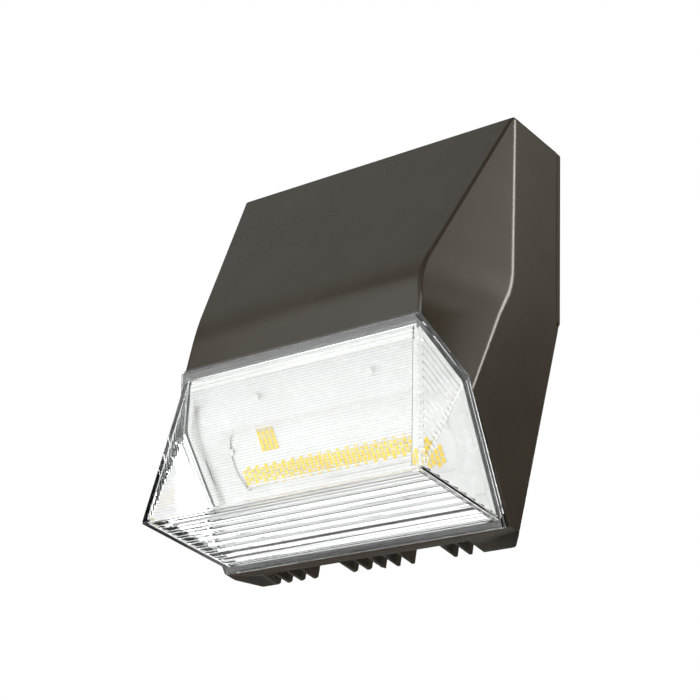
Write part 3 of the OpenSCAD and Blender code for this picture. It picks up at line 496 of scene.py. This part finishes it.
def clear_lens(material):
    """The moulded lens: wedge, stepped flange, hollow and ribs in one solid."""
    shell = wedge(LENS_BASE, SEAL_T, (NOSE_X, NOSE[0], NOSE[1]), LENS_EDGE, 4)
    for margin, share in FLANGE_STEPS:
        step = plate(inset(SEAT_OUTLINE, margin), SEAL_T, SEAL_T + share * FLANGE_T, FLANGE_EDGE)
        shell = combined(shell, step, "UNION")
    shell = combined(shell, hollow(LENS_WALL, 0, HOLLOW_EDGE), "DIFFERENCE")
    tree, identifiers = rib_tree()
    strips = front_and_floor_ribs(tree, identifiers, material) + side_ribs(tree, identifiers, material)
    for strip in strips:
        shell = combined(shell, strip, "UNION")
    shell = without_slivers(shell)
    shell.transform(SEAT)
    finished(shell, "clear_lens", material, "door", ["lens"], LENS_CREASE, weighted=True)


# Reflector

def window(half_l, low, high, bulge):
    """An outline whose ends bulge outwards, counterclockwise."""
    middle, half = (low + high) / 2, (high - low) / 2
    ends = []
    for side in (1, -1):
        for k in range(WINDOW_STEPS + 1):
            t = 2 * k / WINDOW_STEPS - 1
            ends.append((side * (half_l + bulge * (1 - t * t)), middle + side * t * half))
    return ends


def spaced(outline, count):
    """The outline as that many points at even turns about its middle, from the right."""
    middle = Vector((0, DISH_MIDDLE_SHARE * RIM_LEN))
    corners = [Vector(p) - middle for p in outline]
    points = []
    for k in range(count):
        turn = 2 * math.pi * k / count
        way = Vector((math.cos(turn), math.sin(turn)))
        for a, b in zip(corners, corners[1:] + corners[:1]):
            edge = b - a
            across = way.x * edge.y - way.y * edge.x
            if abs(across) < 1e-9:
                continue
            reach = (a.x * edge.y - a.y * edge.x) / across
            along = (a.x * way.y - a.y * way.x) / across
            if reach > 0 and -1e-9 <= along <= 1 + 1e-9:
                points.append(middle + reach * way)
                break
    return points


def reflector(material):
    """The dish round the board: a steep lip at the window, a shelf, an outer rise and a flat edge."""
    rings = [(window(*shape), height) for *shape, height in DISH_WINDOWS]
    rings += [(inset(SEAT_OUTLINE, width), height) for width, height in DISH_EDGES]
    bm = bmesh.new()
    rows = [[bm.verts.new((p.x, p.y, w)) for p in spaced(outline, DISH_POINTS)] for outline, w in rings]
    for inner, outer in zip(rows, rows[1:]):
        for k in range(DISH_POINTS):
            after = (k + 1) % DISH_POINTS
            bm.faces.new((inner[k], outer[k], outer[after], inner[after]))
    bmesh.ops.recalc_face_normals(bm, faces=bm.faces)
    shelf_face = bm.faces[:][DISH_POINTS * 3]
    if shelf_face.normal.z < 0:
        bmesh.ops.reverse_faces(bm, faces=bm.faces)
    obj = put(kept_mesh(bm, "dish"), "dish")
    sheet = obj.modifiers.new("sheet", "SOLIDIFY")
    sheet.thickness = DISH_T
    sheet.offset = 1
    mesh = take(obj, "dish")
    mesh.transform(SEAT)
    finished(mesh, "reflector_dish", material, "door", ["reflector"], DISH_CREASE)


# LED packages

def array_tree():
    """Geometry nodes that put a shape on a staggered grid round a middle point, in the seat's axes."""
    tree, identifiers = new_tree("staggered_rows", (
        ("Shape", "Object"), ("Columns", "Int"), ("Rows", "Int"), ("Column pitch", "Float"),
        ("Row pitch", "Float"), ("Stagger", "Float"), ("Middle", "Vector"), ("Material", "Material")))
    nodes, links = tree.nodes, tree.links
    maths = maths_in(nodes, links)
    given, result = nodes.new("NodeGroupInput"), nodes.new("NodeGroupOutput")
    columns, rows = given.outputs["Columns"], given.outputs["Rows"]
    points = nodes.new("GeometryNodePoints")
    links.new(maths("MULTIPLY", columns, rows), points.inputs["Count"])
    index = nodes.new("GeometryNodeInputIndex").outputs[0]
    column = maths("FLOOR", maths("DIVIDE", maths("ADD", index, 0.01), rows))
    row = maths("SUBTRACT", index, maths("MULTIPLY", column, rows))
    odd = maths("SUBTRACT", maths("MODULO", column, 2), 0.5)
    shift = maths("MULTIPLY", odd, given.outputs["Stagger"])
    from_middle_x = maths("SUBTRACT", column, maths("DIVIDE", maths("SUBTRACT", columns, 1), 2))
    from_middle_y = maths("SUBTRACT", row, maths("DIVIDE", maths("SUBTRACT", rows, 1), 2))
    place = nodes.new("ShaderNodeCombineXYZ")
    links.new(maths("MULTIPLY", from_middle_x, given.outputs["Column pitch"]), place.inputs[0])
    shifted = maths("ADD", from_middle_y, shift)
    links.new(maths("MULTIPLY", shifted, given.outputs["Row pitch"]), place.inputs[1])
    moved = nodes.new("ShaderNodeVectorMath")
    links.new(place.outputs[0], moved.inputs[0])
    links.new(given.outputs["Middle"], moved.inputs[1])
    laid = nodes.new("GeometryNodeSetPosition")
    links.new(points.outputs[0], laid.inputs["Geometry"])
    links.new(moved.outputs[0], laid.inputs["Position"])
    shape = nodes.new("GeometryNodeObjectInfo")
    links.new(given.outputs["Shape"], shape.inputs["Object"])
    copies = nodes.new("GeometryNodeInstanceOnPoints")
    links.new(laid.outputs[0], copies.inputs["Points"])
    links.new(shape.outputs["Geometry"], copies.inputs["Instance"])
    painted_result(nodes, links, copies.outputs[0], given.outputs["Material"], result)
    return tree, identifiers


def set_out(tree, identifiers, shape, count, stagger, middle, material):
    """The shape's copies on a staggered grid, as one mesh in the seat's axes."""
    master = put(shape, "master")
    mesh = grown(tree, identifiers, (master, *count, *LED_PITCH, stagger, (*middle, BOARD_FACE), material))
    bpy.data.objects.remove(master, do_unlink=True)
    return mesh


def led_packages(frame_finish, phosphor):
    """The long array and the small group beside it: a pale frame and a yellow square for each package."""
    tree, identifiers = array_tree()
    for name, size, material, slot, stands_for in (
            ("led_frames", PACKAGE_FRAME, frame_finish, "white_board", ()),
            ("led_phosphors", PACKAGE_PHOSPHOR, phosphor, "led_phosphor", ("led_packages",))):
        shape = block(*size)
        array = set_out(tree, identifiers, shape.copy(), LED_COUNT, ROW_STAGGER, LED_AT, material)
        patch = set_out(tree, identifiers, shape.copy(), PATCH_COUNT, 0.0, PATCH_AT, material)
        mesh = joined([array, patch])
        mesh.transform(SEAT)
        finished(mesh, name, material, "door", stands_for)


# Finishes

def new_finish(name):
    """An empty node material, with its nodes, links, shader and the piece's own coordinates."""
    material = bpy.data.materials.new(name)
    material.use_nodes = True
    nodes, links = material.node_tree.nodes, material.node_tree.links
    nodes.clear()
    output = nodes.new("ShaderNodeOutputMaterial")
    shader = nodes.new("ShaderNodeBsdfPrincipled")
    links.new(shader.outputs[0], output.inputs[0])
    where = nodes.new("ShaderNodeTexCoord").outputs["Object"]
    return material, nodes, links, shader, where


def noise(nodes, links, where, size_mm, detail=2.0, roughness=0.5):
    """A noise pattern whose features are about this many millimetres."""
    node = nodes.new("ShaderNodeTexNoise")
    node.inputs["Scale"].default_value = 1 / (MM * size_mm)
    node.inputs["Detail"].default_value = detail
    node.inputs["Roughness"].default_value = roughness
    links.new(where, node.inputs["Vector"])
    return node.outputs[0]


def spread(nodes, links, value, low, high, start=0.3, end=0.7):
    """The value taken from between start and end to between low and high."""
    node = nodes.new("ShaderNodeMapRange")
    for socket, number in zip(("From Min", "From Max", "To Min", "To Max"), (start, end, low, high)):
        node.inputs[socket].default_value = number
    links.new(value, node.inputs["Value"])
    return node.outputs[0]


def between(nodes, links, share, first, second):
    """A colour between two, by a share that varies over the piece."""
    node = nodes.new("ShaderNodeMix")
    node.data_type = "RGBA"
    node.inputs[6].default_value = (*first, 1)
    node.inputs[7].default_value = (*second, 1)
    links.new(share, node.inputs[0])
    return node.outputs[2]


def bumped(nodes, links, shader, height, strength, distance):
    """The shader's normal follows a height pattern."""
    node = nodes.new("ShaderNodeBump")
    node.inputs["Strength"].default_value = strength
    node.inputs["Distance"].default_value = distance
    links.new(height, node.inputs["Height"])
    links.new(node.outputs[0], shader.inputs["Normal"])


# Finishes: slot, name, the two colours it drifts between, size of its speckle, range of its roughness,
# size and strength of its surface grain, and how metallic it is
FINISHES = (
    ("bronze_paint", "bronze_powder_coat", (0.06, 0.046, 0.029), (0.074, 0.058, 0.038),
     0.5, (0.2, 0.27), 0.9, 0.15, 0),
    ("black_foam", "black_foam", (0.012, 0.012, 0.012), (0.03, 0.03, 0.03),
     0.8, (0.85, 0.98), 0.7, 0.8, 0),
    ("grey_silicone", "grey_silicone", (0.07, 0.07, 0.068), (0.1, 0.1, 0.097),
     2, (0.45, 0.6), 2, 0.1, 0),
    ("stainless", "stainless_steel", (0.5, 0.5, 0.49), (0.6, 0.6, 0.59),
     1, (0.22, 0.36), 0.4, 0.1, 1),
    ("green_screw", "green_zinc", (0.03, 0.2, 0.06), (0.05, 0.28, 0.09),
     1, (0.25, 0.4), 0.6, 0.1, 0.6),
    ("white_reflector", "reflector_enamel", (0.82, 0.82, 0.81), (0.86, 0.86, 0.855),
     5, (0.2, 0.3), 8, 0.03, 0),
    ("white_board", "white_solder_mask", (0.8, 0.8, 0.79), (0.87, 0.87, 0.86),
     3, (0.35, 0.5), 1.5, 0.1, 0),
    ("blue_pad", "blue_thermal_pad", (0.2, 0.3, 0.42), (0.26, 0.37, 0.5),
     1.5, (0.6, 0.8), 0.6, 0.3, 0),
    ("led_phosphor", "yellow_phosphor", (0.98, 0.66, 0.015), (1.0, 0.76, 0.03),
     0.6, (0.3, 0.45), 0.3, 0.2, 0),
    ("natural_plastic", "natural_nylon", (0.75, 0.73, 0.66), (0.82, 0.8, 0.74),
     2, (0.4, 0.55), 1, 0.15, 0),
    ("red_lead", "red_insulation", (0.5, 0.02, 0.015), (0.62, 0.035, 0.025),
     3, (0.35, 0.5), 0.5, 0.1, 0),
    ("black_lead", "black_insulation", (0.015, 0.015, 0.015), (0.03, 0.03, 0.03),
     3, (0.35, 0.5), 0.5, 0.1, 0),
    ("white_lead", "white_insulation", (0.72, 0.72, 0.7), (0.8, 0.8, 0.78),
     3, (0.35, 0.5), 0.5, 0.1, 0),
    ("driver_aluminium", "brushed_aluminium", (0.52, 0.53, 0.54), (0.66, 0.67, 0.68),
     0.8, (0.3, 0.5), 0.5, 0.3, 1),
    ("black_potting", "black_resin", (0.01, 0.01, 0.011), (0.02, 0.02, 0.021),
     4, (0.15, 0.3), 3, 0.2, 0),
    ("nylon", "white_nylon", (0.76, 0.76, 0.74), (0.84, 0.84, 0.82),
     2, (0.4, 0.55), 1, 0.15, 0),
)

# Sizes of the patches in which the paint, the floor and the other finishes drift, how much of the pattern
# takes a finish from its first colour to its second, and the depth in metres of the surface grain
PAINT_PATCH = 30.0
FLOOR_PATCH = 300.0
PLAIN_PATCH = 25.0
DRIFT_RANGE = (0.38, 0.62)
GRAIN_DEPTH = 0.0001

# Clear acrylic: its tint, the tint of light that passes it, its index, its roughness and the waves in it
ACRYLIC_TINT = (0.985, 0.99, 0.99, 1)
ACRYLIC_SHADE = (0.93, 0.94, 0.94, 1)
ACRYLIC_INDEX = 1.49
ACRYLIC_ROUGH = (0.0, 0.03)
ACRYLIC_PATCH = 6.0
WAVE_SIZE = 14.0
WAVE_STRENGTH = 0.05
WAVE_DEPTH = 0.0002


def grained(name, first, second, speckle_mm, rough, grain_mm, grain, metallic, patch_mm=PLAIN_PATCH):
    """A finish with colour that drifts and speckles, and a fine surface grain."""
    material, nodes, links, shader, where = new_finish(name)
    maths = maths_in(nodes, links)
    drift = noise(nodes, links, where, patch_mm, 3.0)
    speckle = noise(nodes, links, where, speckle_mm, 2.0, 0.6)
    mixed = maths("MULTIPLY_ADD", drift, 0.5, maths("MULTIPLY", speckle, 0.5))
    share = spread(nodes, links, mixed, 0, 1, *DRIFT_RANGE)
    links.new(between(nodes, links, share, first, second), shader.inputs["Base Color"])
    links.new(spread(nodes, links, speckle, *rough), shader.inputs["Roughness"])
    shader.inputs["Metallic"].default_value = metallic
    bumped(nodes, links, shader, noise(nodes, links, where, grain_mm, 1.0), grain, GRAIN_DEPTH)
    return material


def clear_moulding():
    """Clear moulded acrylic. Shadow rays go straight through, so that the lamps light what is behind it."""
    material, nodes, links, shader, where = new_finish("clear_moulding")
    shader.inputs["Base Color"].default_value = ACRYLIC_TINT
    shader.inputs["Transmission Weight"].default_value = 1
    shader.inputs["IOR"].default_value = ACRYLIC_INDEX
    patches = noise(nodes, links, where, ACRYLIC_PATCH)
    links.new(spread(nodes, links, patches, *ACRYLIC_ROUGH), shader.inputs["Roughness"])
    bumped(nodes, links, shader, noise(nodes, links, where, WAVE_SIZE, 1.0), WAVE_STRENGTH, WAVE_DEPTH)
    through = nodes.new("ShaderNodeBsdfTransparent")
    through.inputs[0].default_value = ACRYLIC_SHADE
    chosen = nodes.new("ShaderNodeMixShader")
    links.new(nodes.new("ShaderNodeLightPath").outputs["Is Shadow Ray"], chosen.inputs[0])
    links.new(shader.outputs[0], chosen.inputs[1])
    links.new(through.outputs[0], chosen.inputs[2])
    output = next(n for n in nodes if n.type == "OUTPUT_MATERIAL")
    links.new(chosen.outputs[0], output.inputs[0])
    return material


def finishes():
    """Every finish, by the record's slot."""
    patches = {"bronze_paint": PAINT_PATCH}
    made = {slot: grained(*row, patches.get(slot, PLAIN_PATCH)) for slot, *row in FINISHES}
    made["clear_lens"] = clear_moulding()
    return made


# Camera, lamps, floor and background

# Camera: its turns in degrees, its lens and sensor in millimetres, and its place in metres
YAW = 37.62
PITCH = 23.51
ROLL = 3.08
FOCAL_LENGTH = 90.82
SENSOR = 36
FAR_CLIP = 50
CAMERA_AT = (0.5729, -0.8091, -0.4828)

# Level of the room's light, how much of the white background shows in reflections, and how much of the
# background and of the floor shows through the clear lens
ROOM_LEVEL = 0.06
ROOM_COLOUR = (0.96, 0.98, 1.0, 1)
WHITE = (1, 1, 1, 1)
GLOSS_SHARE = 0.04
BACKDROP_SHARES = (0.25, 1)
BACKDROP_FADE = (-0.1, 0.25)
FLOOR_GLOW = 1.0

# Floor: its height and the radii of its rings in metres, and the points round it
FLOOR_Z = -0.62
FLOOR_RINGS = (1.0, 3.0, 6.0)
FLOOR_POINTS = 48
FLOOR_FINISH = ("pale_floor", (0.8, 0.8, 0.8), (0.83, 0.83, 0.83), 40, (0.6, 0.7), 0.6, 0.1, 0, FLOOR_PATCH)

# Lamps: name, place, aim, size, power, angle of spread and colour, in metres, watts and degrees
LAMPS = (
    ("key_softbox", (-0.62, -1.17, 0.72), (0.08, -0.1, -0.1), (0.9, 0.7), 0.28, 60, (1, 1, 1)),
    ("low_softbox", (-0.35, -1.3, -0.45), (0, -0.06, -0.1), (1.0, 0.6), 1.8, 180, (1, 1, 1)),
    ("under_softbox", (-0.5, -0.7, -0.5), (0, -0.08, -0.12), (0.6, 0.4), 2.4, 180, (1, 1, 1)),
    ("edge_strip", (1.05, 0.67, 0.64), (0.1, -0.05, 0.02), (0.3, 0.45), 5, 180, (1, 0.96, 0.9)),
    ("corner_strip", (0.733, -1.025, 0.57), (0.083, -0.115, -0.09), (0.9, 0.3), 5, 180, (1, 1, 1)),
    ("top_softbox", (-0.78, -0.25, 1.15), (0, -0.07, 0.02), (0.8, 0.8), 0.6, 180, (1, 1, 1)),
    ("right_softbox", (1.21, 0.31, 0.58), (0.09, -0.07, -0.03), (0.5, 0.5), 0.9, 180, (1, 0.95, 0.87)),
    ("rear_softbox", (-0.8, 1.3, 0.15), (0, 0, -0.05), (0.8, 0.8), 3, 90, (1, 1, 1)),
    ("back_softbox", (0.735, 0.97, 0.64), (0.1, -0.03, 0.0), (0.35, 0.35), 0.06, 180, (1, 0.95, 0.87)),
)


def look():
    """The camera at the photograph's viewpoint."""
    yaw, pitch, roll = (math.radians(turn) for turn in (YAW, PITCH, ROLL))
    ahead = Vector((-math.sin(yaw) * math.cos(pitch), math.cos(yaw) * math.cos(pitch), math.sin(pitch)))
    level = Vector((math.cos(yaw), math.sin(yaw), 0))
    above = level.cross(ahead)
    right = math.cos(roll) * level + math.sin(roll) * above
    up = math.cos(roll) * above - math.sin(roll) * level
    data = bpy.data.cameras.new("camera")
    data.lens = FOCAL_LENGTH
    data.sensor_width = SENSOR
    data.clip_end = FAR_CLIP
    camera = bpy.data.objects.new("camera", data)
    turn = Matrix((right, up, -ahead)).transposed().to_4x4()
    camera.matrix_world = Matrix.Translation(CAMERA_AT) @ turn
    bpy.context.scene.collection.objects.link(camera)
    bpy.context.scene.camera = camera


def lamp(name, place, aim, size, power, spread_angle, colour):
    """A soft rectangular lamp aimed at a point."""
    data = bpy.data.lights.new(name, "AREA")
    data.shape = "RECTANGLE"
    data.size, data.size_y = size
    data.energy = power
    data.spread = math.radians(spread_angle)
    data.color = colour
    obj = bpy.data.objects.new(name, data)
    way = Vector(aim) - Vector(place)
    obj.location = place
    obj.rotation_euler = way.to_track_quat("-Z", "Y").to_euler()
    bpy.context.scene.collection.objects.link(obj)


def pale_floor():
    """A round floor that keeps the object's shadow and looks bright through the clear lens."""
    bm = bmesh.new()
    middle = bm.verts.new((0, 0, FLOOR_Z))
    turns = [2 * math.pi * k / FLOOR_POINTS for k in range(FLOOR_POINTS)]
    rings = [[bm.verts.new((r * math.cos(a), r * math.sin(a), FLOOR_Z)) for a in turns] for r in FLOOR_RINGS]
    for k in range(FLOOR_POINTS):
        after = (k + 1) % FLOOR_POINTS
        bm.faces.new((middle, rings[0][k], rings[0][after]))
        for inner, outer in zip(rings, rings[1:]):
            bm.faces.new((inner[k], outer[k], outer[after], inner[after]))
    floor = put(mesh_from(bm, "floor"), "floor")
    pale = grained(*FLOOR_FINISH)
    nodes, links = pale.node_tree.nodes, pale.node_tree.links
    shader = next(n for n in nodes if n.type == "BSDF_PRINCIPLED")
    shader.inputs["Emission Color"].default_value = WHITE
    rays = nodes.new("ShaderNodeLightPath")
    glow = maths_in(nodes, links)("MULTIPLY", rays.outputs["Is Transmission Ray"], FLOOR_GLOW)
    links.new(glow, shader.inputs["Emission Strength"])
    floor.data.materials.append(pale)


def white_background():
    """A world that is white to the camera and through the lens, fades below it, and is dim in reflections."""
    world = bpy.data.worlds.new("studio")
    bpy.context.scene.world = world
    world.use_nodes = True
    nodes, links = world.node_tree.nodes, world.node_tree.links
    nodes.clear()
    maths = maths_in(nodes, links)
    rays = nodes.new("ShaderNodeLightPath").outputs
    way = nodes.new("ShaderNodeSeparateXYZ")
    links.new(nodes.new("ShaderNodeTexCoord").outputs["Generated"], way.inputs[0])
    backdrop = spread(nodes, links, way.outputs["Y"], *BACKDROP_SHARES, *BACKDROP_FADE)
    through = maths("MULTIPLY", rays["Is Transmission Ray"], backdrop)
    seen = maths("MAXIMUM", rays["Is Camera Ray"], through)
    share = maths("MULTIPLY_ADD", rays["Is Glossy Ray"], GLOSS_SHARE, seen)
    mix = nodes.new("ShaderNodeMixShader")
    links.new(share, mix.inputs[0])
    for socket, colour, level in ((1, ROOM_COLOUR, ROOM_LEVEL), (2, WHITE, 1.0)):
        light = nodes.new("ShaderNodeBackground")
        light.inputs[0].default_value = colour
        light.inputs[1].default_value = level
        links.new(light.outputs[0], mix.inputs[socket])
    output = nodes.new("ShaderNodeOutputWorld")
    links.new(mix.outputs[0], output.inputs[0])


def studio():
    """A pale floor, a white background and soft lamps."""
    pale_floor()
    white_background()
    for row in LAMPS:
        lamp(*row)
    bpy.context.scene.view_settings.view_transform = "Standard"


# The light

# CAD nodes that keep their shape, with the slot of their finish
CARRIED_OVER = {
    "wall_gasket": "black_foam", "door_gasket": "grey_silicone", "lens_seal": "grey_silicone",
    "duct_grommet": "grey_silicone", "hinge_pins": "stainless", "clamp_nuts": "stainless",
    "captive_screw_left": "stainless", "captive_screw_right": "stainless", "driver_screws": "stainless",
    "led_board_screws": "stainless", "ground_clamp": "stainless", "ground_screw": "green_screw",
    "reflector_screws": "white_reflector", "led_board": "white_board", "thermal_pad": "blue_pad",
    "led_connector": "natural_plastic", "push_in_connectors": "natural_plastic", "retaining_washers": "nylon",
    "led_lead_red": "red_lead", "led_lead_black": "black_lead", "line_lead": "black_lead",
    "neutral_lead": "white_lead", "driver_case": "driver_aluminium", "driver_lid": "driver_aluminium",
    "driver_potting": "black_potting",
}


def carried_over(finish):
    """The CAD nodes that keep their shape get their finish."""
    for node, slot in CARRIED_OVER.items():
        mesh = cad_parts[node].data
        mesh.materials.clear()
        mesh.materials.append(finish[slot])


def castings(paint):
    """The cast door and back plate: the CAD's shapes with softened edges at the lens and at the seam."""
    to_seat = SEAT.inverted() @ Matrix.Scale(MM, 4)
    rim_top = inset(SEAT_OUTLINE, RIM_STRIP)[2][1]

    def on_door(point):
        x, v, w = to_seat @ point
        at_rim = abs(w) < ON_FACE and (v > rim_top or abs(x) > FLANK_X)
        at_side = abs(point.x) > HALF_W - SEAM_REACH or point.z > TOP_Z - SEAM_REACH
        return at_rim or (abs(point.y + DOOR_BACK) < ON_FACE and at_side)

    def on_plate(point):
        at_side = abs(point.x) > HALF_W - PLATE_BORDER or point.z > TOP_Z - SEAM_REACH
        return abs(point.y + PLATE_FRONT) < ON_FACE and at_side

    for name, node, body, chosen, width in (
            ("cast_door", "door_housing", "door", on_door, DOOR_EDGE),
            ("cast_back_plate", "back_plate", "back_box", on_plate, PLATE_EDGE)):
        mesh = edges_softened(merged_copy(node), chosen, width)
        finished(mesh, name, paint, body, [node], CAST_CREASE, weighted=True)


def build():
    """Every piece of the light."""
    finish = finishes()
    look()
    studio()
    carried_over(finish)
    castings(finish["bronze_paint"])
    reflector(finish["white_reflector"])
    led_packages(finish["white_board"], finish["led_phosphor"])
    clear_lens(finish["clear_lens"])


build()
bpy.context.view_layer.update()
